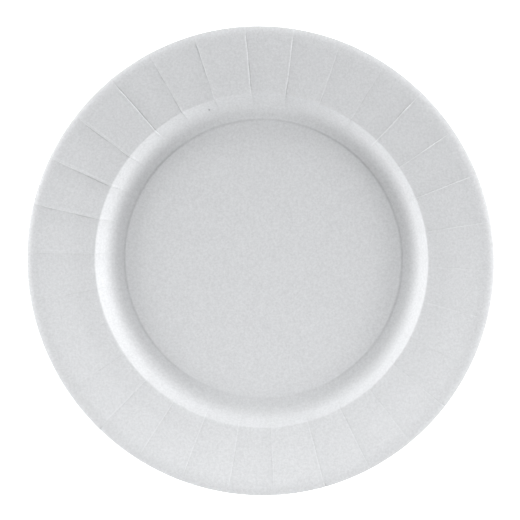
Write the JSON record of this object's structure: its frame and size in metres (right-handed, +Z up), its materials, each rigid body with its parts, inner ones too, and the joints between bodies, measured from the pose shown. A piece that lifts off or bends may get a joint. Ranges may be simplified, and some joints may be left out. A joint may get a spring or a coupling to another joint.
{
  "type": "paper plate",
  "caption": "Round shallow disposable plate of pressed white paperboard, with a wide radially pleated rim and an edge turned down.",
  "frame": {"origin": "on the table under the plate's middle, at the height of the foot it stands on", "axes": "+Z up out of the well, +X to the right and +Y to the top of the picture"},
  "size_m": [0.2702, 0.27, 0.0175],
  "materials": {
    "paperboard": "uncoated matt white board"
  },
  "bodies": {
    "root": {"plate": "paperboard"}
  },
  "joints": []
}
